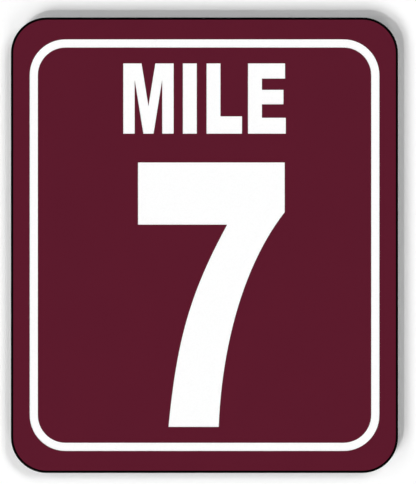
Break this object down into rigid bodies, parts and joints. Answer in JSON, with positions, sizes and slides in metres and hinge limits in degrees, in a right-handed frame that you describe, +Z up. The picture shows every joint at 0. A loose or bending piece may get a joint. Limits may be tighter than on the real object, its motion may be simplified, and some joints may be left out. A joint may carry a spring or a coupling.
{
  "type": "mile marker sign",
  "caption": "Flat upright sign panel with rounded corners, a white border line, a short word and a large numeral, made to be fixed by its back face.",
  "frame": {"origin": "centre of the blank's flat back face", "axes": "+Z up the sign, +Y out of the back face towards what it is fixed to, +X to the right of someone reading the face"},
  "size_m": [0.216, 0.0036, 0.254],
  "materials": {
    "bare_aluminium": "mill rolled, edges deburred",
    "white_sheeting": "semi-gloss self-adhesive sheeting",
    "maroon_film": "semi-gloss overlay film",
    "black_film": "semi-gloss overlay film"
  },
  "bodies": {
    "root": {"blank": "bare_aluminium", "white_sheeting": "white_sheeting", "ground_film": "maroon_film", "edge_line": "black_film"}
  },
  "joints": []
}
